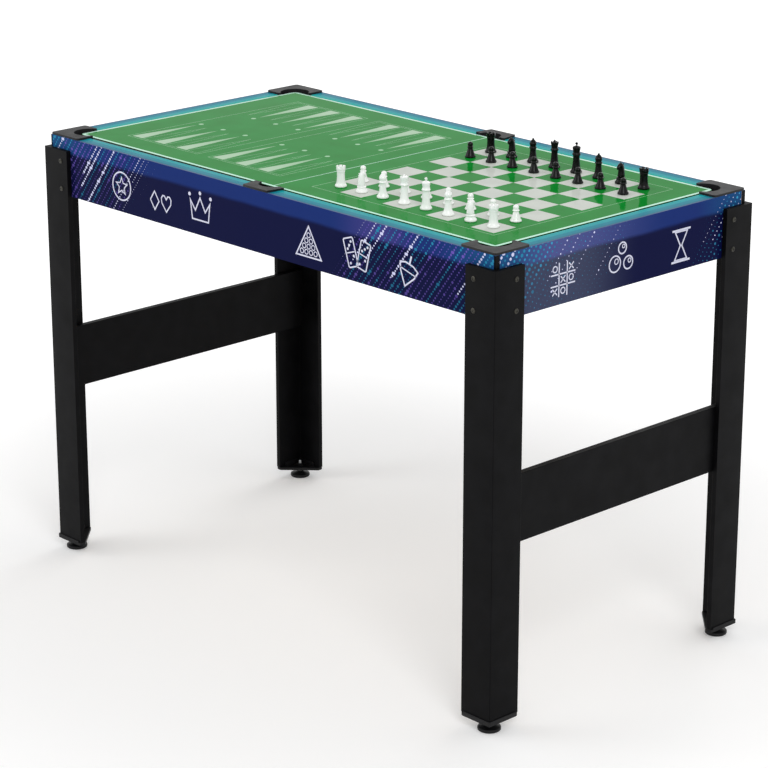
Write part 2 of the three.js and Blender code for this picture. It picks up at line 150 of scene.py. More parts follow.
def cad_shape(node):
    """The merged surface of a CAD node, with flat areas in one face each."""
    shape = bmesh.new()
    shape.from_mesh(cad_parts[node].data)
    bmesh.ops.remove_doubles(shape, verts=shape.verts, dist=0.002 * MM)
    bmesh.ops.dissolve_limit(shape, angle_limit=math.radians(0.3), verts=shape.verts, edges=shape.edges)
    return shape


def stamped(into, part, matrix):
    """Adds a turned and placed copy of one bmesh to another."""
    mesh = bpy.data.meshes.new("stamp")
    part.to_mesh(mesh)
    mesh.transform(matrix)
    into.from_mesh(mesh)
    bpy.data.meshes.remove(mesh)


def true_round(shape, centre, radius):
    """Puts more facets on a round wall about an upright axis."""
    spans = []
    for edge in shape.edges:
        reach = [Vector((v.co.x - centre[0], v.co.y - centre[1])).length for v in edge.verts]
        on_wall = all(abs(r - radius) < 0.05 * MM for r in reach)
        level = abs(edge.verts[0].co.z - edge.verts[1].co.z) < 0.01 * MM
        if on_wall and level and edge.calc_length() < radius * 0.6:
            spans.append(edge)
    if not spans:
        return
    made = bmesh.ops.subdivide_edges(shape, edges=spans, cuts=3)
    for vert in (item for item in made["geom_inner"] if isinstance(item, bmesh.types.BMVert)):
        flat = Vector((vert.co.x - centre[0], vert.co.y - centre[1]))
        flat *= radius / flat.length
        vert.co.x, vert.co.y = centre[0] + flat.x, centre[1] + flat.y


def turned(profile, steps=32, centre=(0, 0, 0), shape=None):
    """Spins a profile of (radius, height) in millimetres about the upright axis."""
    shape = shape or bmesh.new()
    verts = [shape.verts.new((centre[0] + r * MM, centre[1], centre[2] + z * MM)) for r, z in profile]
    edges = [shape.edges.new(pair) for pair in zip(verts, verts[1:])]
    bmesh.ops.spin(shape, geom=verts + edges, cent=centre, axis=(0, 0, 1), angle=math.tau, steps=steps,
                   use_merge=True)
    bmesh.ops.remove_doubles(shape, verts=shape.verts, dist=0.001 * MM)
    bmesh.ops.recalc_face_normals(shape, faces=shape.faces)
    return shape


def spun(shape, verts, degrees, axis):
    """Turns vertices about an axis through the origin."""
    matrix = Matrix.Rotation(math.radians(degrees), 3, axis)
    bmesh.ops.rotate(shape, verts=verts, cent=(0, 0, 0), matrix=matrix)


def pulled(shape, faces, way):
    """Extrudes faces and moves their copies along a vector."""
    made = bmesh.ops.extrude_face_region(shape, geom=faces)
    copies = [v for v in made["geom"] if isinstance(v, bmesh.types.BMVert)]
    bmesh.ops.translate(shape, verts=copies, vec=way)


def hexagon_nut(shape, middle, radius, height, edge):
    """Adds a nut about an upright axis, with broken edges. All but its middle in millimetres."""
    nut = bmesh.ops.create_cone(shape, cap_ends=True, segments=6, radius1=radius * MM, radius2=radius * MM,
                                depth=height * MM)
    bmesh.ops.translate(shape, verts=nut["verts"], vec=middle)
    rim = list({e for v in nut["verts"] for e in v.link_edges})
    bmesh.ops.bevel(shape, geom=rim, offset=edge * MM, affect="EDGES", segments=2, profile=0.5, material=-1)


# Materials

def grained_bump(tree, shader, scale, distance, strength=0.4, detail=3):
    """Fine relief from noise. The scale is one over the size of its grain in metres."""
    place = add(tree, "TexCoord", output="Object")
    grain = add(tree, "TexNoise", {"Vector": place, "Scale": scale, "Detail": detail})
    bump = add(tree, "Bump", {"Height": grain, "Distance": distance, "Strength": strength})
    join(tree, bump, shader, "Normal")


def roughness_from(tree, shader, scale, low, high):
    """Handling marks and uneven gloss, in soft patches."""
    place = add(tree, "TexCoord", output="Object")
    patches = add(tree, "TexNoise", {"Vector": place, "Scale": scale, "Detail": 4})
    join(tree, add(tree, "MapRange", (patches, 0.3, 0.7, low, high)), shader, "Roughness")


def tint_from(tree, shader, first, second, scale):
    """Slight colour drift between two inks."""
    place = add(tree, "TexCoord", output="Object")
    drift = add(tree, "TexNoise", {"Vector": place, "Scale": scale, "Detail": 5})
    share = add(tree, "MapRange", (drift, 0.35, 0.65))
    join(tree, add(tree, "Mix", (share, ink(first), ink(second)), data_type="RGBA"), shader, "Base Color")


def black_foil():
    """PVC foil wrapped on fibreboard: near black, satin, with a pressed grain of about 0.4 mm."""
    material, tree, shader = surface("black_pvc_foil", Specular_IOR_Level=0.07)
    tint_from(tree, shader, "#060607", "#0b0b0d", 35)
    grained_bump(tree, shader, 2200, 0.03 * MM, 0.5, 2)
    roughness_from(tree, shader, 25, 0.42, 0.54)
    return material


def moulded_black():
    """Injection-moulded ABS with a spark-eroded texture: charcoal, low sheen, grain about 0.3 mm."""
    material, tree, shader = surface("moulded_black_abs", Specular_IOR_Level=0.22)
    tint_from(tree, shader, "#18181a", "#1e1e20", 60)
    grained_bump(tree, shader, 3000, 0.05 * MM, 0.6, 2)
    roughness_from(tree, shader, 40, 0.42, 0.56)
    return material


def foot_plastic():
    """Injection-moulded polypropylene: black, slightly waxy."""
    material, tree, shader = surface("moulded_polypropylene", Specular_IOR_Level=0.2)
    tint_from(tree, shader, "#0b0b0c", "#111113", 90)
    grained_bump(tree, shader, 1800, 0.03 * MM, 0.4, 2)
    roughness_from(tree, shader, 60, 0.4, 0.52)
    return material


def green_cloth():
    """Napped polyester cloth, glued on: dull green, weave of about 1.6 mm and a soft edge sheen."""
    material, tree, shader = surface("green_cloth", Roughness=0.95, Sheen_Weight=0.5, Sheen_Roughness=0.5,
                                     Specular_IOR_Level=0.2)
    tint_from(tree, shader, "#1d6b36", "#2a8044", 160)
    threads = {"Vector": add(tree, "TexCoord", output="Object"), "Scale": 200, "Distortion": 0.6, "Detail": 2}
    across, along = (add(tree, "TexWave", threads, bands_direction=way) for way in "XY")
    weave = add(tree, "Math", (across, along), operation="ADD")
    bump = add(tree, "Bump", {"Height": weave, "Distance": 0.12 * MM, "Strength": 0.5})
    join(tree, bump, shader, "Normal")
    return material


def raw_fibreboard():
    """Medium-density fibreboard, sawn and left bare: pale brown with short fibres of about 1 mm."""
    material, tree, shader = surface("raw_fibreboard", Roughness=0.85, Specular_IOR_Level=0.3)
    tint_from(tree, shader, "#a58a64", "#bda27c", 700)
    grained_bump(tree, shader, 1100, 0.06 * MM, 0.5, 4)
    return material


def zinc_steel():
    """Cold-formed steel, bright zinc plated: pale grey with faint drawn lines."""
    material, tree, shader = surface("bright_zinc_steel", Metallic=1.0)
    tint_from(tree, shader, "#a9acae", "#c2c5c6", 300)
    grained_bump(tree, shader, 2600, 0.02 * MM, 0.4, 2)
    roughness_from(tree, shader, 200, 0.25, 0.4)
    return material


def bolt_steel_coat():
    """Bolt steel with a dark passivated coat, which shows as small grey glints."""
    material, tree, shader = surface("dark_passivated_steel", Metallic=1.0)
    tint_from(tree, shader, "#2e2d29", "#4c4b45", 500)
    roughness_from(tree, shader, 300, 0.28, 0.42)
    return material


def men_plastic(name, first, second, level):
    """Injection-moulded polystyrene: hard, glossy, with very faint flow marks."""
    material, tree, shader = surface(name, Specular_IOR_Level=level, IOR=1.59)
    tint_from(tree, shader, first, second, 120)
    grained_bump(tree, shader, 260, 0.04 * MM, 0.25, 2)
    roughness_from(tree, shader, 150, 0.14, 0.24)
    return material


def laminate_ink(name, first, second, fades=False):
    """Offset print under a clear laminate: even ink, glossy film with an orange peel of about 4 mm.
    A fading ink has its first colour along the table's middle and its second by the long sides."""
    material, tree, shader = surface(name, Specular_IOR_Level=0.016)
    if fades:
        y = add(tree, "SeparateXYZ", (add(tree, "TexCoord", output="Object"),), output="Y")
        off_middle = add(tree, "Math", (y,), operation="ABSOLUTE")
        share = add(tree, "MapRange", (off_middle, 50 * MM, 170 * MM))
        join(tree, add(tree, "Mix", (share, ink(first), ink(second)), data_type="RGBA"), shader, "Base Color")
    else:
        tint_from(tree, shader, first, second, 18)
    grained_bump(tree, shader, 240, 0.006 * MM, 0.35, 2)
    roughness_from(tree, shader, 14, 0.06, 0.11)
    return material


def print_place(tree):
    """Where a point lies on the apron's print: metres from its middle, and above its lower edge."""
    split = add(tree, "SeparateXYZ", (add(tree, "UVMap", uv_map="print"),)).node
    return split.outputs["X"], split.outputs["Y"]


ROW_PITCH, ROW_LEAN = 12 * MM, 0.76
ROW_START_STEPS = 7.0  # each row's dots start anywhere in so many steps, so that they don't line up


def slanted_dots(tree, u, v, step_pitch):
    """Slanted rows of round dots: how far a point is from its dot's middle, a chance per dot, a chance per
    row, and where the row meets the apron's lower edge."""
    leaned = add(tree, "Math", (v, ROW_LEAN), operation="MULTIPLY")
    foot = add(tree, "Math", (u, leaned), operation="SUBTRACT")
    across = add(tree, "Math", (foot, ROW_PITCH), operation="DIVIDE")
    row = add(tree, "Math", (across,), operation="FLOOR")
    row_chance = add(tree, "TexWhiteNoise", {"W": row}, noise_dimensions="1D")
    steps_up = add(tree, "Math", (v, step_pitch), operation="DIVIDE")
    along = add(tree, "Math", (row_chance, ROW_START_STEPS, steps_up), operation="MULTIPLY_ADD")
    step = add(tree, "Math", (along,), operation="FLOOR")
    offsets = []
    for way, pitch in ((along, step_pitch), (across, ROW_PITCH)):
        share = add(tree, "Math", (way,), operation="FRACT")
        off_middle = add(tree, "Math", (share, 0.5), operation="SUBTRACT")
        offsets.append(add(tree, "Math", (off_middle, pitch), operation="MULTIPLY"))
    rise, side = offsets
    side = add(tree, "Math", (rise, ROW_LEAN, side), operation="MULTIPLY_ADD")
    distance = add(tree, "VectorMath", (add(tree, "CombineXYZ", (side, rise)),), operation="LENGTH")
    dot_chance = add(tree, "TexWhiteNoise", (add(tree, "CombineXYZ", (row, step)),), noise_dimensions="2D")
    return distance, dot_chance, row_chance, foot


# The apron's print, above its lower edge and in from its ends
BAND_LOW, BAND_FULL, BAND_WAVER = 77 * MM, 86 * MM, 7 * MM
PALING_HALF = 80 * MM
TEAL_FROM, TEAL_FULL = 120 * MM, 20 * MM
DOTS_FADE_LOW, DOTS_FADE_HIGH = 55 * MM, 90 * MM
ROWS_BEGIN = 80 * MM  # rows lean, so the first ones start beyond the left end
WHITE_ROW_TOP = 60 * MM
END_STRIP = 3.5 * MM


def apron_print(name, half_span, royal, glow, glow_middle, glow_reach, paling_edge, spread, coloured, pitch,
                largest):
    """Printed foil, satin: night blue under a straight royal band, with slanted rows of dots by the ends.
    The spread lists how full the rows are from the left end to the right."""
    material, tree, shader = surface(name, Specular_IOR_Level=0.03)
    u, v = print_place(tree)
    from_middle = add(tree, "Math", (u,), operation="ABSOLUTE")

    # ground: night blue turning pale grey towards its left, the band with a clouded glow, and teal in the
    # band's ends
    left_paling = add(tree, "MapRange", (u, paling_edge - PALING_HALF, paling_edge + PALING_HALF, 0.85, 0.0),
               interpolation_type="SMOOTHSTEP")
    night = add(tree, "Mix", (left_paling, ink("#0b103a"), ink("#434962")), data_type="RGBA")
    off_glow = add(tree, "Math", (u, glow_middle), operation="SUBTRACT")
    off_glow = add(tree, "Math", (off_glow,), operation="ABSOLUTE")
    glowing = add(tree, "MapRange", (off_glow, 0.0, glow_reach, 0.95, 0.0), interpolation_type="SMOOTHSTEP")
    band_ink = add(tree, "Mix", (glowing, ink(royal), ink(glow)), data_type="RGBA")
    corner = add(tree, "MapRange", (from_middle, half_span - TEAL_FROM, half_span - TEAL_FULL, 0.0, 0.9))
    band_ink = add(tree, "Mix", (corner, band_ink, ink("#1b4f80")), data_type="RGBA")
    cloud = add(tree, "TexNoise", {"Vector": add(tree, "TexCoord", output="Object"), "Scale": 9, "Detail": 2})
    wavering = add(tree, "Math", (cloud, BAND_WAVER, v), operation="MULTIPLY_ADD")
    band = add(tree, "MapRange", (wavering, BAND_LOW, BAND_FULL), interpolation_type="SMOOTHSTEP")
    ground = add(tree, "Mix", (band, night, band_ink), data_type="RGBA")

    # rows: three in ten are white above a height of their own, and a second chance says how full one is
    distance, dot_chance, row_chance, foot = slanted_dots(tree, u, v, pitch)
    from_left = add(tree, "MapRange", (foot, -half_span - ROWS_BEGIN, half_span))
    fullness = add(tree, "ValToRGB", (from_left,)).node
    for _ in spread[2:]:
        fullness.color_ramp.elements.new(0.5)
    for element, (spot, level) in zip(fullness.color_ramp.elements, spread):
        element.position = spot
        element.color = (level, level, level, 1)
    white_row = add(tree, "Math", (row_chance, 0.7), operation="GREATER_THAN")
    second_chance = add(tree, "Math", (row_chance, 37.0), operation="MULTIPLY")
    second_chance = add(tree, "Math", (second_chance,), operation="FRACT")
    stop = add(tree, "Math", (second_chance, WHITE_ROW_TOP), operation="MULTIPLY")
    above_stop = add(tree, "Math", (v, stop), operation="GREATER_THAN")
    bright = add(tree, "Math", (white_row, above_stop), operation="MULTIPLY")
    row_full = add(tree, "Math", (bright, add(tree, "MapRange", (second_chance, 0.0, 1.0, 0.55, 1.0))),
                   operation="MAXIMUM")

    # dots: shares of the largest radius, with one dot in fourteen much larger
    size = add(tree, "Math", (dot_chance, 0.25, 0.38), operation="MULTIPLY_ADD")
    large = add(tree, "Math", (dot_chance, 0.93), operation="GREATER_THAN")
    size = add(tree, "Math", (large, 0.35, size), operation="MULTIPLY_ADD")
    for share in (largest, row_full, fullness.outputs["Color"]):
        size = add(tree, "Math", (size, share), operation="MULTIPLY")
    coloured_row = add(tree, "Math", (row_chance, 0.34), operation="GREATER_THAN")
    hue = add(tree, "Mix", (coloured_row, ink("#2a86ac"), ink(coloured)), data_type="RGBA")
    shown = add(tree, "MapRange", (v, DOTS_FADE_LOW, DOTS_FADE_HIGH, 0.5, 1.0))
    hue = add(tree, "Mix", (shown, ground, hue), data_type="RGBA")
    hue = add(tree, "Mix", (bright, hue, ink("#d3d5f6")), data_type="RGBA")
    in_dot = add(tree, "Math", (distance, size), operation="LESS_THAN")
    colour = add(tree, "Mix", (in_dot, ground, hue), data_type="RGBA")

    # a plain black strip at both ends
    strip = add(tree, "Math", (from_middle, half_span - END_STRIP), operation="GREATER_THAN")
    join(tree, add(tree, "Mix", (strip, colour, ink("#060607")), data_type="RGBA"), shader, "Base Color")
    grained_bump(tree, shader, 420, 0.01 * MM, 0.3, 2)
    roughness_from(tree, shader, 12, 0.3, 0.42)
    return material


# The rail's bands, as shares of the way in from the outer edge
RAIL_SPAN = 40 * MM
RAIL_BANDS = [(0.0, "#4a6488"), (0.1, "#15768f"), (0.2, "#12859a"), (0.46, "#18a0a8"), (0.74, "#30b8a8")]
FRONT_RAIL_REACH = 44 * MM
# where the painted gap shadow by the board begins, in from the rail's outer edge, at the left and to the
# right
GAP_SHADOW_LEFT, GAP_SHADOW_RIGHT = 28 * MM, 31 * MM


def rail_print():
    """Printed rail foil: a grey blue outer line, then teal bands, the lightest by the board; a painted gap
    shadow.
    """
    material, tree, shader = surface("rail_foil_with_painted_gap_shadow", Specular_IOR_Level=0.04)
    split = add(tree, "SeparateXYZ", (add(tree, "TexCoord", output="Object"),)).node
    x, y = split.outputs["X"], split.outputs["Y"]
    insets = []
    for half, place in ((HALF_WIDTH, y), (HALF_LENGTH, x)):
        off_middle = add(tree, "Math", (place,), operation="ABSOLUTE")
        insets.append(add(tree, "Math", (half, off_middle), operation="SUBTRACT"))
    inset = add(tree, "Math", insets, operation="MINIMUM")
    bands = add(tree, "ValToRGB", (add(tree, "Math", (inset, RAIL_SPAN), operation="DIVIDE"),)).node
    ramp = bands.color_ramp
    ramp.interpolation = "CONSTANT"
    for spot, code in RAIL_BANDS[2:]:
        ramp.elements.new(spot)
    for element, (spot, code) in zip(ramp.elements, RAIL_BANDS):
        element.position = spot
        element.color = ink(code)

    # painted shadow of the gap between board and rail: a dark line by the board along the front rail, thinner
    # and weaker towards the chess end
    front = add(tree, "Math", (y, FRONT_RAIL_REACH - HALF_WIDTH), operation="LESS_THAN")
    line_edge = add(tree, "MapRange", (x, -0.5, 0.1, GAP_SHADOW_LEFT, GAP_SHADOW_RIGHT))
    near_board = add(tree, "Math", (insets[0], line_edge), operation="GREATER_THAN")
    dark = add(tree, "MapRange", (x, 0.0, 0.4, 0.95, 0.1))
    for limit in (front, near_board):
        dark = add(tree, "Math", (dark, limit), operation="MULTIPLY")
    join(tree, add(tree, "Mix", (dark, bands.outputs["Color"], ink("#04161a")), data_type="RGBA"), shader,
         "Base Color")
    grained_bump(tree, shader, 420, 0.01 * MM, 0.3, 2)
    roughness_from(tree, shader, 15, 0.3, 0.4)
    return material


foil = black_foil()
abs_plastic = moulded_black()
waxy_plastic = foot_plastic()
cloth = green_cloth()
fibreboard = raw_fibreboard()
zinc = zinc_steel()
bolt_steel = bolt_steel_coat()
white_plastic = men_plastic("moulded_white_polystyrene", "#f9fbf9", "#fdfefd", 0.5)
black_plastic = men_plastic("moulded_black_polystyrene", "#050506", "#09090a", 0.14)
green_ink = laminate_ink("laminated_green_ink", "#0d862a", "#128e33")
pale_ink = laminate_ink("laminated_pale_ink", "#cdd2ca", "#d6dbd3")
white_ink = laminate_ink("laminated_white_ink", "#c8f8e2", "#d6fcea")
line_ink = laminate_ink("laminated_line_ink", "#a0d4a8", "#acdbb3")
point_ink = laminate_ink("laminated_point_ink", "#8fc494", "#b5d6b6", fades=True)
LONG_SPREAD = [(0.0, 1.0), (0.18, 1.0), (0.26, 0.0), (0.68, 0.0), (0.72, 0.95), (1.0, 1.0)]
END_SPREAD = [(0.0, 1.1), (0.17, 1.1), (0.23, 0.4), (0.44, 0.25), (0.5, 0.0), (0.76, 0.0), (0.84, 0.42),
              (1.0, 0.42)]
long_print = apron_print("long_apron_printed_foil", HALF_LENGTH, royal="#1a3070", glow="#3e3d80",
                         glow_middle=0.29, glow_reach=0.11, paling_edge=-HALF_LENGTH, spread=LONG_SPREAD,
                         coloured="#6a56b4", pitch=4.6 * MM, largest=3.9 * MM)
end_print = apron_print("end_apron_printed_foil", HALF_WIDTH, royal="#1b3070", glow="#50568e",
                        glow_middle=-0.15, glow_reach=0.26, paling_edge=-0.04, spread=END_SPREAD,
                        coloured="#3a9cc8", pitch=6.2 * MM, largest=5.6 * MM)
rail_foil = rail_print()


# Aprons with their rails

SIDE_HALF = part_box("side_pocket_front")[1].x
SIDE_BLOCK_HALF, SIDE_PLATE_OUT, SIDE_PLATE_IN = 28.6 * MM, 30 * MM, 35 * MM
# where the foils change, in from the outer face and down from the rail's top
PANEL_END_DEPTH, RAIL_INSIDE_DEPTH = 9.5 * MM, 20 * MM
RAIL_TOP_DROP, RAIL_INSIDE_DROP = 4 * MM, 40 * MM
OUTWARD = {"front": (0, -1), "back": (0, 1), "left": (-1, 0), "right": (1, 0)}
PRINT, RAIL, FOIL, SAWN = range(4)

for side, (ox, oy) in OUTWARD.items():
    node = f"apron_{side}"
    shape = cad_shape(node)
    printed = shape.loops.layers.uv.new("print")
    along = Vector((-oy, ox, 0))
    outer = HALF_LENGTH if ox else HALF_WIDTH
    # the rails reach up to the side pockets, whose plates are shorter here than in the frame
    for vert in shape.verts:
        if oy and abs(abs(vert.co.x) - SIDE_HALF - FIT) < 0.2 * MM:
            vert.co.x = math.copysign(SIDE_BLOCK_HALF + FIT, vert.co.x)
    for face in shape.faces:
        normal = face.normal
        spot = face.calc_center_median()
        depth = outer - (spot.x * ox + spot.y * oy)
        is_outside = normal.x * ox + normal.y * oy > 0.9 and depth < 0.5 * MM
        is_rail_top = normal.z > 0.5 and spot.z > RAIL_TOP - RAIL_TOP_DROP
        is_panel_end = abs(normal.dot(along)) > 0.9 and depth < PANEL_END_DEPTH
        is_rail_inside = spot.z > RAIL_TOP - RAIL_INSIDE_DROP and depth > RAIL_INSIDE_DEPTH
        if is_outside:
            face.material_index = PRINT
        elif is_rail_top:
            face.material_index = RAIL
        else:
            face.material_index = FOIL if is_panel_end or is_rail_inside else SAWN
        for loop in face.loops:
            loop[printed].uv = (loop.vert.co.dot(along), loop.vert.co.z - APRON_FOOT)
    art = long_print if oy else end_print
    stand_in(node, "foiled", shape, [art, rail_foil, foil, fibreboard], "apron_print",
             modifiers=[edge_break(0.5 * MM)])


# Pictograms printed on the aprons, in millimetres from their middles

def flat_face(shape, points):
    return shape.faces.new([shape.verts.new((x * MM, 0, z * MM)) for x, z in points])


def ring(shape, points, line):
    """A closed outline of the given line width, from its outer corners."""
    face = flat_face(shape, points)
    face.normal_update()
    bmesh.ops.inset_region(shape, faces=[face], thickness=line * MM, use_even_offset=True,
                           use_boundary=True)
    bmesh.ops.delete(shape, geom=[face], context="FACES_ONLY")


def band_corners(start, end, width):
    """The corners of a straight line of the given width."""
    a, b = Vector(start), Vector(end)
    off = (b - a).normalized().orthogonal() * width / 2
    return [a - off, b - off, b + off, a + off]


def stroke(shape, start, end, line):
    flat_face(shape, band_corners(start, end, line))


def spaced(count, start=0.0):
    return [start + math.tau * i / count for i in range(count)]


def circle(x, z, radius, count=36):
    return [(x + radius * math.cos(a), z + radius * math.sin(a)) for a in spaced(count)]


def star(outer, inner, count=5):
    reach = [outer, inner] * count
    return [(r * math.cos(a), r * math.sin(a)) for r, a in zip(reach, spaced(2 * count, math.pi / 2))]


def tilted(points, degrees, shift=0.0):
    """Points turned about the middle, then shifted sideways."""
    c, s = math.cos(math.radians(degrees)), math.sin(math.radians(degrees))
    return [(shift + x * c - z * s, x * s + z * c) for x, z in points]


def domino_outline(width=19, height=38, cut=2):
    w, h = width / 2, height / 2
    return [(-w + cut, -h), (w - cut, -h), (w, -h + cut), (w, h - cut), (w - cut, h), (-w + cut, h),
            (-w, h - cut), (-w, -h + cut)]


def starred_ball(shape):
    ring(shape, circle(0, 0, 20), 2)
    ring(shape, star(14, 6.5), 1.6)


def domino_pair(shape):
    for turn, shift in ((18, -11), (-14, 12)):
        ring(shape, tilted(domino_outline(), turn, shift), 1.8)
        stroke(shape, *tilted([(-7, 0), (7, 0)], turn, shift), 1.4)
        for x, z in tilted([(-4, 5), (4, 13), (0, 9), (-4, -13), (4, -5)], turn, shift):
            flat_face(shape, circle(x, z, 1.7, 14))


def ball_rack(shape):
    ring(shape, [(-25, -18), (25, -18), (0, 24)], 2)
    for line, count in enumerate((4, 3, 2, 1)):
        for i in range(count):
            ring(shape, circle((i - (count - 1) / 2) * 8.4, line * 7.3 - 11, 3.7, 18), 1.2)


def small_crown(shape):
    ring(shape, [(-21, 14), (-17, -15), (17, -15), (21, 14), (10, 0), (0, 18), (-10, 0)], 2)
    for x, z in ((-21, 18), (0, 22), (21, 18)):
        flat_face(shape, circle(x, z, 2.6, 14))


def spinning_top(shape):
    lean = -16
    ring(shape, tilted([(-17, 8), (-13, -3), (0, -20), (13, -3), (17, 8), (7, 12), (-7, 12)], lean), 2)
    stroke(shape, *tilted([(0, 12), (0, 22)], lean), 2.6)
    stroke(shape, *tilted([(-14, 1), (14, 1)], lean), 1.5)


def four_suits(shape):
    ring(shape, [(-22, 0), (-12, 14), (-2, 0), (-12, -14)], 1.8)
    ring(shape, [(12, -13), (22, -1), (23, 6), (19.5, 10.5), (15, 10.5), (12, 6.5), (9, 10.5), (4.5, 10.5),
                 (1, 6), (2, -1)], 1.8)


def noughts_and_crosses(shape):
    for shift in (-7, 7):
        stroke(shape, (shift, -21), (shift, 21), 1.8)
        stroke(shape, (-21, shift), (21, shift), 1.8)
    for x, z in ((-14, 14), (14, 0), (0, -14)):
        ring(shape, circle(x, z, 4.4, 20), 1.4)
    for x, z in ((14, 14), (0, 0), (-14, -14)):
        stroke(shape, (x - 4, z - 4), (x + 4, z + 4), 1.5)
        stroke(shape, (x - 4, z + 4), (x + 4, z - 4), 1.5)


def sand_glass(shape):
    ring(shape, [(-13, -19), (13, -19), (2.4, 0), (13, 19), (-13, 19), (-2.4, 0)], 1.9)
    stroke(shape, (-17, -20), (17, -20), 2.6)
    stroke(shape, (-17, 20), (17, 20), 2.6)


def marble_trio(shape):
    for x, z, radius in ((-12, -6, 11), (12, -8, 9), (1, 12, 8)):
        ring(shape, circle(x, z, radius, 28), 1.8)
        ring(shape, circle(x + radius * 0.25, z + radius * 0.25, radius * 0.36, 14), 1.2)


PICTURE_SCALE, PICTURE_THICK = 1.3, 0.12 * MM
# each picture's place along the apron and above its lower edge, in millimetres
LONG_PICTURES = [(starred_ball, -352, 46), (four_suits, -246, 38), (small_crown, -140, 44),
                 (ball_rack, 132, 40), (domino_pair, 246, 46), (spinning_top, 362, 40)]
END_PICTURES = [(noughts_and_crosses, -142, 40), (marble_trio, -8, 48), (sand_glass, 134, 41)]
TURNS = {"front": 0, "right": 90, "back": 180, "left": -90}


def screen_ink():
    """Screen-printed white: a matt ink film with a bluish cast, from the ground that shows through it."""
    material, tree, shader = surface("white_screen_ink", Specular_IOR_Level=0.4)
    tint_from(tree, shader, "#cfd0e6", "#dcdef0", 60)
    grained_bump(tree, shader, 900, 0.01 * MM, 0.4, 2)
    roughness_from(tree, shader, 30, 0.3, 0.42)
    return material


picture_ink = screen_ink()
for side, (ox, oy) in OUTWARD.items():
    shape = bmesh.new()
    for draw, x, z in (LONG_PICTURES if oy else END_PICTURES):
        drawn = bmesh.new()
        draw(drawn)
        place = Matrix.Translation((x * MM, 0, APRON_FOOT + z * MM))
        stamped(shape, drawn, place @ Matrix.Scale(PICTURE_SCALE, 4))
        drawn.free()
    bmesh.ops.recalc_face_normals(shape, faces=shape.faces)
    for face in shape.faces:
        if face.normal.y > 0:
            face.normal_flip()
    pulled(shape, shape.faces[:], (0, -PICTURE_THICK, 0))
    bmesh.ops.translate(shape, verts=shape.verts, vec=(0, -(HALF_LENGTH if ox else HALF_WIDTH), 0))
    spun(shape, shape.verts, TURNS[side], "Z")
    bmesh.ops.recalc_face_normals(shape, faces=shape.faces)
    finished(f"apron_{side}_pictograms", shape, "table", [picture_ink], "apron_print")


# Pocket mouldings, bed and bars

CORNERS = {"front_left": (-1, -1), "front_right": (1, -1), "back_right": (1, 1), "back_left": (-1, 1)}
CORNER_INSET, CORNER_RADIUS, SIDE_INSET, SIDE_RADIUS, POCKET_WALL = (v * MM for v in (48, 27, 39, 23, 2.5))
SIDE_WALL_OUT = SIDE_RADIUS + POCKET_WALL + FIT
SIDE_TAPER = 30 * MM
corner_centres = {name: (sx * (HALF_LENGTH - CORNER_INSET), sy * (HALF_WIDTH - CORNER_INSET))
                  for name, (sx, sy) in CORNERS.items()}
side_centres = {name: (0, oy * (HALF_WIDTH - SIDE_INSET)) for name, (ox, oy) in OUTWARD.items() if oy}


def pocket(node, centre, radius):
    """A pocket's CAD shape with a rounder cup."""
    shape = cad_shape(node)
    true_round(shape, centre, radius)
    true_round(shape, centre, radius + POCKET_WALL)
    return shape


for name, centre in corner_centres.items():
    stand_in(f"corner_pocket_{name}", "moulded", pocket(f"corner_pocket_{name}", centre, CORNER_RADIUS),
             [abs_plastic], "black_plastic", modifiers=[edge_break(0.5 * MM)])

# the side plates taper outwards, and the block under them is narrower than in the frame
for name, centre in side_centres.items():
    shape = pocket(f"side_pocket_{name}", centre, SIDE_RADIUS)
    for vert in shape.verts:
        beyond = abs(vert.co.x) - SIDE_WALL_OUT
        if beyond > 0:
            inward = min(1, max(0, (HALF_WIDTH - abs(vert.co.y)) / SIDE_TAPER))
            plate_half = SIDE_PLATE_OUT + (SIDE_PLATE_IN - SIDE_PLATE_OUT) * inward
            half = plate_half if vert.co.z > RAIL_TOP else SIDE_BLOCK_HALF
            share = (half - SIDE_WALL_OUT) / (SIDE_HALF - SIDE_WALL_OUT)
            vert.co.x = math.copysign(SIDE_WALL_OUT + beyond * share, vert.co.x)
    stand_in(f"side_pocket_{name}", "moulded", shape, [abs_plastic], "black_plastic",
             modifiers=[edge_break(0.5 * MM)])

shape = cad_shape("pool_bed")
for centres, radius in ((corner_centres, CORNER_RADIUS), (side_centres, SIDE_RADIUS)):
    for centre in centres.values():
        true_round(shape, centre, radius + POCKET_WALL + FIT)
bed_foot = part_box("pool_bed")[0].z
for face in shape.faces:
    is_under = face.normal.z < -0.9 and face.calc_center_median().z < bed_foot + 1 * MM
    face.material_index = 1 if is_under else 0
stand_in("pool_bed", "clothed", shape, [cloth, fibreboard], "green_cloth",
         modifiers=[edge_break(1.2 * MM, segments=3)])

for side in ("left", "right"):
    stand_in(f"bed_bar_{side}", "sawn", cad_shape(f"bed_bar_{side}"), [fibreboard], "raw_fibreboard",
             modifiers=[edge_break(0.6 * MM)])


# Game board with its printed fields

GREEN, PALE, WHITE, LINE, POINT, EDGE, UNDER = range(7)


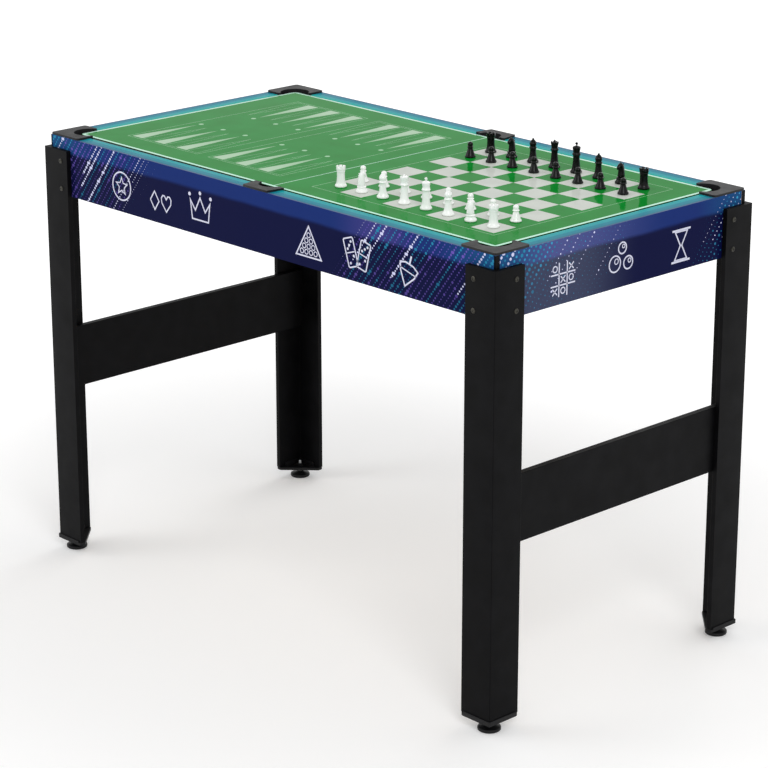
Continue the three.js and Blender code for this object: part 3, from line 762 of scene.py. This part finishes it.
def inlay(shape, points, index):
    """Cuts a convex outline into the board's top and gives what lies inside it an ink. Millimetres."""
    corners = [Vector((x * MM, y * MM, 0)) for x, y in points]
    area = sum(a.x * b.y - b.x * a.y for a, b in zip(corners, corners[1:] + corners[:1]))
    if area < 0:
        corners.reverse()
    low = Vector((min(c.x for c in corners), min(c.y for c in corners)))
    high = Vector((max(c.x for c in corners), max(c.y for c in corners)))
    inside = [f for f in shape.faces if f.normal.z > 0.99 and f.calc_center_median().z > BOARD_TOP - 0.01 * MM
              and max(v.co.x for v in f.verts) > low.x and min(v.co.x for v in f.verts) < high.x
              and max(v.co.y for v in f.verts) > low.y and min(v.co.y for v in f.verts) < high.y]
    for a, b in zip(corners, corners[1:] + corners[:1]):
        out = Vector((b.y - a.y, a.x - b.x, 0)).normalized()
        edges = {e for f in inside for e in f.edges}
        verts = {v for f in inside for v in f.verts}
        cut = bmesh.ops.bisect_plane(shape, geom=list(inside) + list(edges) + list(verts), dist=0.001 * MM,
                                     plane_co=a, plane_no=out)
        faces = {g for g in cut["geom"] if isinstance(g, bmesh.types.BMFace)}
        inside = [f for f in faces if f.is_valid and (f.calc_center_median() - a).dot(out) < 0]
    for face in inside:
        face.material_index = index


def bar_line(shape, start, end, width, index):
    inlay(shape, band_corners(start, end, width), index)


def frame_line(shape, left, right, low, high, width, index):
    """Four strokes round a rectangle, inside its limits."""
    w = width / 2
    bar_line(shape, (left, low + w), (right, low + w), width, index)
    bar_line(shape, (left, high - w), (right, high - w), width, index)
    bar_line(shape, (left + w, low), (left + w, high), width, index)
    bar_line(shape, (right - w, low), (right - w, high), width, index)


def shrunk(points, margin):
    """A convex outline moved inwards by a margin."""
    made = []
    count = len(points)
    for i in range(count):
        before, here, after = (Vector(points[(i + k) % count]) for k in (-1, 0, 1))
        first, second = (here - before).normalized(), (after - here).normalized()
        bisector = (second - first).normalized()
        half = math.acos(max(-1, min(1, first.dot(-second)))) / 2
        made.append(here + bisector * margin / math.sin(half))
    return made


# The board's print, in millimetres from the middle of the table or of its field
EDGE_LEFT_BARE, BORDER_LINE, MIDDLE_LINE, THIN_LINE = 0.6, 6, 1.8, 1
CELL, CHESS_FRAME = 50, 209
POINT_BASE, POINT_TIP, POINT_HALF, POINT_OUTLINE = 195, 60, 13.6, 0.8
DOT_PLACE, DOT_RADIUS = 49, 4.8
POINTS_FRAME, POINTS_MARGIN = 201, 5
POINT_FIELDS = ((-442, -260), (-222, -45))
BOARD_CORNER, BOARD_EDGE = 10 * MM, 0.6 * MM


def long_point(shape, x, side, filled):
    """One backgammon point, from its base to near the middle; a filled one has a dot beyond its tip."""
    base = side * POINT_BASE
    outline = [(x - POINT_HALF, base), (x + POINT_HALF, base), (x, side * POINT_TIP)]
    inlay(shape, outline, POINT if filled else LINE)
    if filled:
        inlay(shape, circle(x, side * DOT_PLACE, DOT_RADIUS, 14), LINE)
    else:
        inlay(shape, shrunk(outline, POINT_OUTLINE), GREEN)


def game_board():
    shape = bmesh.new()
    bmesh.ops.create_grid(shape, x_segments=1, y_segments=1, size=1)
    bmesh.ops.scale(shape, verts=shape.verts, vec=(board_high.x, board_high.y, 1))
    bmesh.ops.translate(shape, verts=shape.verts, vec=(0, 0, BOARD_TOP))
    bmesh.ops.bevel(shape, geom=shape.verts[:], offset=BOARD_CORNER, affect="VERTICES", segments=8,
                    profile=0.5, material=-1)
    pulled(shape, shape.faces[:], (0, 0, board_low.z - BOARD_TOP))
    bmesh.ops.recalc_face_normals(shape, faces=shape.faces)
    rim = [e for e in shape.edges if len(e.link_faces) == 2 and e.calc_face_angle(0) > 1]
    bmesh.ops.bevel(shape, geom=rim, offset=BOARD_EDGE, affect="EDGES", segments=2, profile=0.5, material=-1)
    for face in shape.faces:
        face.material_index = GREEN if face.normal.z > 0.9 else UNDER if face.normal.z < -0.9 else EDGE

    # pale border, middle line and the thin frame of the chess field
    half_x, half_y = board_high.x / MM, board_high.y / MM
    border_x, border_y = half_x - EDGE_LEFT_BARE, half_y - EDGE_LEFT_BARE
    frame_line(shape, -border_x, border_x, -border_y, border_y, BORDER_LINE, WHITE)
    bar_line(shape, (0, -border_y), (0, border_y), MIDDLE_LINE, WHITE)
    centre = half_x / 2
    frame_line(shape, centre - CHESS_FRAME, centre + CHESS_FRAME, -CHESS_FRAME, CHESS_FRAME, THIN_LINE, LINE)

    # chess squares: the one at the front right corner is pale
    for i in range(8):
        for j in range(8):
            right, near = centre + CELL * (4 - i), CELL * (j - 4)
            left, far = right - CELL, near + CELL
            if (i + j) % 2 == 0:
                inlay(shape, [(left, near), (right, near), (right, far), (left, far)], PALE)

    # backgammon: two fields of six points on each side, filled and outlined points in turn
    for left, right in POINT_FIELDS:
        pitch = (right - left) / 6
        frame_line(shape, left - POINTS_MARGIN, right + POINTS_MARGIN, -POINTS_FRAME, POINTS_FRAME, THIN_LINE,
                   LINE)
        for i in range(6):
            x = left + pitch * (i + 0.5)
            long_point(shape, x, -1, i % 2 == 0)
            long_point(shape, x, 1, i % 2 == 1)
    return shape


stand_in("game_board", "printed", game_board(),
         [green_ink, pale_ink, white_ink, line_ink, point_ink, foil, fibreboard], "game_print", "game_board")


# Legs, caps, bolts, stretchers and levelling feet

leg_low, leg_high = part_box("leg_front_right")
LEG_FACE_X, LEG_FACE_Y, LEG_TOP = leg_high.x, -leg_low.y, leg_high.z
STUD_INSET, CAP_BOSS_RADIUS, CAP_HOLE_RADIUS = 22 * MM, 8 * MM, 4.3 * MM
BOLT_INSET, BOLT_DROPS = 46 * MM, (20 * MM, 70 * MM)

for name, (sx, sy) in CORNERS.items():
    stand_in(f"leg_{name}", "foiled", cad_shape(f"leg_{name}"), [foil], "black_foil",
             modifiers=[edge_break(0.8 * MM)])
    shape = cad_shape(f"foot_cap_{name}")
    for radius in (CAP_BOSS_RADIUS, CAP_HOLE_RADIUS):
        true_round(shape, (sx * (LEG_FACE_X - STUD_INSET), sy * (LEG_FACE_Y - STUD_INSET)), radius)
    stand_in(f"foot_cap_{name}", "moulded", shape, [waxy_plastic], "foot_plastic",
             modifiers=[edge_break(0.3 * MM)])

for side in ("left", "right"):
    stand_in(f"end_stretcher_{side}", "foiled", cad_shape(f"end_stretcher_{side}"), [foil], "black_foil",
             modifiers=[edge_break(0.8 * MM)])


def bolt_set():
    """One upright bolt, the seat of its head at the origin: a low head with a hexagon socket, and its nut."""
    shape = turned([(0, 0.5), (2.0, 0.5), (2.1, 1.1), (2.7, 1.2), (3.6, 1.05), (4.3, 0.55), (4.4, 0.1),
                    (4.4, -0.05), (3.1, -0.05), (3.1, -19.5), (2.6, -20.2), (0, -20.2)], 24)
    socket = [v for v in shape.verts if 1.9 * MM < Vector(v.co.xy).length < 2.2 * MM]
    for vert in socket:
        angle = math.atan2(vert.co.y, vert.co.x) % (math.pi / 3) - math.pi / 6
        stretch = math.cos(math.pi / 6) / math.cos(angle)
        vert.co.x *= stretch
        vert.co.y *= stretch
    hexagon_nut(shape, (0, 0, -20.9 * MM), radius=5.6, height=4.5, edge=0.4)
    return shape


bolt = bolt_set()
for name, (sx, sy) in CORNERS.items():
    shape = bmesh.new()
    for drop in BOLT_DROPS:
        z = LEG_TOP - drop
        on_long = Matrix.Translation((sx * (LEG_FACE_X - BOLT_INSET), sy * LEG_FACE_Y, z))
        stamped(shape, bolt, on_long @ Matrix.Rotation(math.radians(-90 * sy), 4, "X"))
        on_end = Matrix.Translation((sx * LEG_FACE_X, sy * (LEG_FACE_Y - BOLT_INSET), z))
        stamped(shape, bolt, on_end @ Matrix.Rotation(math.radians(90 * sx), 4, "Y"))
    finished(f"leg_bolts_{name}", shape, "table", [bolt_steel], "black_foil")
bolt.free()


def levelling_foot(centre, top):
    """Pad, hexagon nut and threaded stud in one piece; the thread pitch of 1.25 mm is drawn as rings."""
    pad_top, nut_middle, top_taper = 11.6, 14.95, 1.6
    pitch, ring_height, crest, root = 1.25, 1.1, 4.0, 3.45
    shape = turned([(0, 0), (15.5, 0), (17.6, 0.4), (18.8, 1.5), (19, 2.6), (19, 5), (18.5, 6), (16.5, 6.9),
                    (10, 8.6), (7.4, 9.4), (6.5, 10.2), (6.5, pad_top), (0, pad_top)], 48, centre)
    z = pad_top + 0.1
    thread = [(0, z)]
    while z < top - top_taper:
        thread += [(root, z), (crest, z + ring_height / 2), (root, z + ring_height)]
        z += pitch
    turned(thread + [(3.2, top - 0.2), (2.9, top), (0, top)], 28, centre, shape)
    hexagon_nut(shape, (centre[0], centre[1], nut_middle * MM), radius=7.4, height=6.3, edge=0.5)
    for face in shape.faces:
        face.material_index = 1 if face.calc_center_median().z > (pad_top + 0.05) * MM else 0
    return shape


for name in CORNERS:
    node = f"levelling_foot_{name}"
    low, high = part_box(node)
    centre = ((low.x + high.x) / 2, (low.y + high.y) / 2, 0)
    shape = levelling_foot(centre, high.z / MM)
    stand_in(node, "assembled", shape, [waxy_plastic, zinc], "foot_plastic", node)


# Chess men: outlines of radius and height in millimetres

FOOT = [(0, 0), (8.9, 0), (9.7, 0.25), (10, 0.9), (10, 2.6), (9.7, 3.4), (8.7, 4.0), (8.5, 4.8), (7.9, 5.8)]
PAWN = [(0, 0), (8.5, 0), (9.2, 0.25), (9.4, 0.9), (9.4, 2.0), (9.0, 2.7), (8.1, 3.2), (7.8, 4.2), (7.2, 6.0),
        (6.2, 9.0), (5.2, 12.0), (4.4, 15.0), (4.2, 16.2), (4.5, 16.8), (5.7, 17.3), (5.8, 18.1), (4.5, 18.8),
        (3.9, 19.5), (4.6, 21), (4.9, 22.6), (4.5, 24.6), (3.3, 26.0), (1.5, 26.8), (0, 27)]
BISHOP = FOOT + [(6.9, 7.8), (6.2, 10.6), (5.6, 15), (5.1, 20), (5.0, 23.2), (5.5, 24.3), (6.6, 25.2),
                 (6.6, 26.3), (5.4, 27.1), (4.9, 28.2), (5.6, 30), (6.1, 32.2), (5.9, 34.4), (4.6, 37),
                 (2.8, 39), (1.5, 39.8), (1.6, 40.4), (1.9, 41.1), (1.3, 41.8), (0, 42)]
QUEEN = FOOT + [(7.2, 8), (6.5, 11.5), (5.9, 17), (5.4, 24), (5.3, 27.8), (5.9, 29.2), (7.0, 30.4),
                (7.0, 31.7), (5.9, 32.6), (5.4, 34), (5.7, 37), (6.4, 40.2), (7.0, 43.2), (6.2, 43.6),
                (4.4, 43.8), (3.0, 44.4), (1.8, 45.2), (1.3, 45.7), (1.7, 46.5), (1.5, 47.5), (0, 48)]
KING = FOOT + [(7.3, 8), (6.7, 11.5), (6.1, 17), (5.6, 24.5), (5.5, 28.4), (6.1, 30), (7.2, 31.2),
               (7.2, 32.7), (6.1, 33.6), (5.6, 35), (6.0, 38), (6.6, 41), (7.1, 43.2), (6.6, 44.2),
               (4.8, 45.2), (3.0, 46), (0, 46.2)]
ROOK = FOOT + [(7.5, 7.4), (6.9, 10.6), (6.6, 15), (6.5, 20), (6.5, 23.4), (6.8, 25), (7.3, 25.8),
               (7.3, 26.8), (7.0, 27.4), (7.4, 28.4), (7.8, 29.4), (7.8, 30.6), (7.8, 32), (5.1, 32),
               (5.1, 31), (0, 31)]
KNIGHT_BASE = FOOT + [(7.3, 6.8), (7.1, 8.2), (7.7, 9.0), (7.5, 10.2), (5.0, 11.2), (0, 11.2)]
# each section of the knight: forward, height, half depth, half width, lean in degrees
KNIGHT_SECTIONS = [(-0.2, 9.6, 7.0, 6.4, 0), (-0.7, 13.5, 7.0, 5.7, -6), (-0.9, 18.0, 6.5, 5.1, -4),
                   (-0.6, 23.0, 6.0, 4.7, 8), (0.4, 28.0, 5.8, 4.3, 28), (2.5, 31.1, 5.2, 4.0, 58),
                   (5.0, 29.6, 4.3, 3.5, 92), (7.3, 26.8, 3.3, 3.0, 112), (8.6, 24.6, 2.8, 2.7, 122)]


def heading(face):
    """The direction in which a face lies from the middle, in degrees."""
    spot = face.calc_center_median()
    return math.degrees(math.atan2(spot.y, spot.x))


def raised(shape, faces, height):
    """Lifts faces straight up, with walls below them."""
    pulled(shape, faces, (0, 0, height * MM))
    bmesh.ops.delete(shape, geom=faces, context="FACES")


def crease(shape, above, bend):
    """Keeps edges above a height sharp where they bend enough, when the piece is smoothed."""
    layer = shape.edges.layers.float.new("crease_edge")
    for edge in shape.edges:
        if min(v.co.z for v in edge.verts) > above * MM and edge.calc_face_angle(0) > bend:
            edge[layer] = 1.0


def pawn_shape():
    return turned(PAWN)


def rook_shape():
    """Six merlons, each over four of the rim's 36 faces."""
    rim_height, merlon_height = 32, 3
    shape = turned(ROOK, 36)
    rim = [f for f in shape.faces
           if f.normal.z > 0.9 and abs(f.calc_center_median().z - rim_height * MM) < 0.1 * MM]
    raised(shape, [f for f in rim if heading(f) % 60 < 40], merlon_height)
    crease(shape, rim_height - 0.1, 0.8)
    return shape


def queen_shape():
    """Eight low points on the crown's rim."""
    rim_low, rim_high, rim_inside, point_height = 43.2 * MM, 43.6 * MM, 5.8 * MM, 1.3
    shape = turned(QUEEN)
    rim = [f for f in shape.faces if f.normal.z > 0.5 and rim_low < f.calc_center_median().z < rim_high
           and Vector(f.calc_center_median().xy).length > rim_inside]
    raised(shape, [f for f in rim if heading(f) % 45 < 22.5], point_height)
    return shape


def king_shape():
    """A cross whose arms flare outwards, drawn from a small block."""
    block_size, cross_middle, arm_reach, foot_reach, flare, collar_top = 1.7, 49.6, 1.5, 4.2, 1.35, 46.4
    shape = turned(KING)
    block = bmesh.ops.create_cube(shape, size=block_size * MM)
    bmesh.ops.translate(shape, verts=block["verts"], vec=(0, 0, cross_middle * MM))
    faces = {f for v in block["verts"] for f in v.link_faces}
    for direction, reach in (((1, 0, 0), arm_reach), ((-1, 0, 0), arm_reach), ((0, 0, 1), arm_reach),
                             ((0, 0, -1), foot_reach)):
        way = Vector(direction)
        face = next(f for f in faces if f.is_valid and f.normal.dot(way) > 0.9)
        arm = bmesh.ops.extrude_discrete_faces(shape, faces=[face])["faces"][0]
        bmesh.ops.translate(shape, verts=arm.verts, vec=way * reach * MM)
        middle = arm.calc_center_median()
        for vert in arm.verts:
            vert.co = middle + flare * (vert.co - middle)
    crease(shape, collar_top, 0.6)
    return shape


def bishop_shape():
    """A slanted slot cut into the front of the head."""
    shape = turned(BISHOP)
    lean, slot_half, slot_depth = math.radians(40), 0.55, 1.1
    across = Vector((0, -math.sin(lean), math.cos(lean)))
    slot_middle = Vector((0, 2.2, 35.6)) * MM
    head = [f for f in shape.faces
            if 29 * MM < f.calc_center_median().z < 39 * MM and f.calc_center_median().y > -1 * MM]
    for shift in (-slot_half, slot_half):
        geom = head + list({e for f in head for e in f.edges}) + list({v for f in head for v in f.verts})
        cut = bmesh.ops.bisect_plane(shape, geom=geom, dist=0.0001 * MM,
                                     plane_co=slot_middle + across * shift * MM, plane_no=across)
        head = list({g for g in cut["geom"] if isinstance(g, bmesh.types.BMFace)})
    slot = [f for f in head if abs((f.calc_center_median() - slot_middle).dot(across)) < 0.5 * MM
            and f.calc_center_median().y > 0]
    bmesh.ops.inset_region(shape, faces=slot, thickness=0.05 * MM, depth=-slot_depth * MM,
                           use_even_offset=True)
    return shape


def tuft(shape, foot, tip, tall, flat, lean, place):
    """A small flattened cone that leans forwards or back, for an ear or a lock of the mane. Millimetres."""
    made = bmesh.ops.create_cone(shape, cap_ends=True, segments=8, radius1=foot * MM, radius2=tip * MM,
                                 depth=tall * MM)["verts"]
    bmesh.ops.scale(shape, verts=made, vec=(1, flat, 1))
    spun(shape, made, lean, "Y")
    bmesh.ops.translate(shape, verts=made, vec=Vector(place) * MM)


def knight_shape():
    """A turned base, and a head lofted over ovals from the chest up the neck and out to the muzzle."""
    shape = turned(KNIGHT_BASE)
    loops = []
    for forward, height, deep, wide, lean in KNIGHT_SECTIONS:
        made = bmesh.ops.create_circle(shape, cap_ends=False, segments=16, radius=1)["verts"]
        bmesh.ops.scale(shape, verts=made, vec=(deep * MM, wide * MM, 1))
        spun(shape, made, lean, "Y")
        bmesh.ops.translate(shape, verts=made, vec=(forward * MM, 0, height * MM))
        loops.append(list({e for v in made for e in v.link_edges}))
    for first, second in zip(loops, loops[1:]):
        bmesh.ops.bridge_loops(shape, edges=first + second)
    for ends in (loops[0], loops[-1]):
        bmesh.ops.contextual_create(shape, geom=ends)
    # ears, and the mane as a stepped ridge of six locks down the back of the neck
    for side in (-1, 1):
        tuft(shape, foot=1.5, tip=0.3, tall=5, flat=0.7, lean=-8, place=(0.2, side * 1.7, 35.4))
    for share in (i / 5 for i in range(6)):
        tuft(shape, foot=1.9, tip=0.7, tall=3.4, flat=0.55, lean=18 * share - 70,
             place=(2.0 * share ** 2 - 7.6, 0, 14.5 + 17 * share))
    bmesh.ops.recalc_face_normals(shape, faces=shape.faces)
    spun(shape, shape.verts, 90, "Z")
    return shape


MAN_SHAPES = {"pawn": pawn_shape, "rook": rook_shape, "knight": knight_shape, "bishop": bishop_shape,
              "queen": queen_shape, "king": king_shape}
BACK_RANK = ["rook", "knight", "bishop", "queen", "king", "bishop", "knight", "rook"]
made_men = {kind: make() for kind, make in MAN_SHAPES.items()}
for colour, plastic, turn in (("white", white_plastic, 0), ("black", black_plastic, 180)):
    rook_low, rook_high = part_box(f"{colour}_rook_a")
    for file_name, back_kind in zip("abcdefgh", BACK_RANK):
        for kind in (back_kind, "pawn"):
            node = f"{colour}_{kind}_{file_name}"
            low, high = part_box(node)
            centre = Vector(((low.x + high.x) / 2, (low.y + high.y) / 2, low.z))
            if kind == "knight":
                centre.y = rook_low.y / 2 + rook_high.y / 2  # its muzzle moves the middle of its own box
            shape = bmesh.new()
            facing = Matrix.Rotation(math.radians(turn), 4, "Z")
            stamped(shape, made_men[kind], Matrix.Translation(centre) @ facing)
            stand_in(node, "moulded", shape, [plastic], f"{colour}_men", node, smooth_angle=70,
                     modifiers=[("SUBSURF", dict(levels=1, render_levels=1))])
for shape in made_men.values():
    shape.free()


# Floor, light and camera

def seen_directly(tree):
    """One for rays from the camera, also past glossy and clear surfaces; zero for those that only light."""
    path = add(tree, "LightPath").node
    camera_or_glossy = add(tree, "Math", (path.outputs["Is Camera Ray"], path.outputs["Is Glossy Ray"]),
                           operation="MAXIMUM")
    return add(tree, "Math", (camera_or_glossy, path.outputs["Is Transmission Ray"]), operation="MAXIMUM")


def studio():
    """A pale floor that shows white to the camera but keeps the table's shadow, under soft lamps."""
    shape = bmesh.new()
    bmesh.ops.create_grid(shape, x_segments=1, y_segments=1, size=30)
    mesh = bpy.data.meshes.new("floor")
    shape.to_mesh(mesh)
    shape.free()
    floor = bpy.data.objects.new("floor", mesh)
    floor.location.z = cad_box[0].z - 0.1 * MM
    bpy.context.scene.collection.objects.link(floor)
    material, tree, shader = surface("pale_studio_floor", Base_Color=ink("#f8f8f8"), Roughness=0.9,
                                     Specular_IOR_Level=0.1, Emission_Color=(1, 1, 1, 1))
    # the floor glows a little by the table, for a soft shadow, and more away from it, where it shows white
    by_table, away, low_glow, full_glow = 0.6, 1.9, 0.15, 0.42
    off_middle = add(tree, "VectorMath", (add(tree, "TexCoord", output="Object"),), operation="LENGTH")
    glow = add(tree, "MapRange", (off_middle, by_table, away, low_glow, full_glow),
               interpolation_type="SMOOTHSTEP")
    glow = add(tree, "Math", (seen_directly(tree), glow), operation="MULTIPLY")
    join(tree, glow, shader, "Emission Strength")
    mesh.materials.append(material)

    world = bpy.data.worlds.new("soft_room")
    bpy.context.scene.world = world
    world.use_nodes = True
    room = world.node_tree
    room.nodes.clear()
    level = add(room, "MapRange", {"Value": seen_directly(room), "To Min": 0.6, "To Max": 1.0})
    add(room, "OutputWorld", {"Surface": add(room, "Background", {"Color": (1, 1, 1, 1), "Strength": level})})

    table_middle = Vector((0, 0, 0.5))
    for name, spot, size, power in (("key_lamp", (5.3, -3.5, 4.7), 4.0, 192),
                                    ("fill_lamp", (-4.7, -5.6, 3.4), 4.7, 100),
                                    ("rear_lamp", (-1.1, 5.4, 5.0), 4.3, 71)):
        lamp = bpy.data.lights.new(name, "AREA")
        lamp.shape = "DISK"
        lamp.size = size
        lamp.energy = power
        holder = bpy.data.objects.new(name, lamp)
        holder.location = spot
        holder.rotation_euler = (table_middle - Vector(spot)).to_track_quat("-Z", "Y").to_euler()
        bpy.context.scene.collection.objects.link(holder)


def photograph_camera():
    """The camera of the photo, without its upward shift; azimuth and elevation are in degrees."""
    azimuth, elevation, distance, aim = 46.65, 18.36, 4.76, Vector((0, 0, 0.385))
    pixels_per_metre, photo_width, film_width = 572, 768, 36
    a, e = math.radians(azimuth), math.radians(elevation)
    back = Vector((math.sin(a) * math.cos(e), -math.cos(a) * math.cos(e), math.sin(e)))
    camera = bpy.data.objects.new("photograph_camera", bpy.data.cameras.new("photograph_camera"))
    camera.data.sensor_width = film_width
    camera.data.lens = film_width * pixels_per_metre * distance / photo_width
    camera.location = aim + back * distance
    camera.rotation_euler = (-back).to_track_quat("-Z", "Y").to_euler()
    camera.data.clip_start, camera.data.clip_end = 0.05, 100
    bpy.context.scene.collection.objects.link(camera)
    bpy.context.scene.camera = camera


studio()
photograph_camera()
bpy.context.scene.view_settings.view_transform = "Standard"
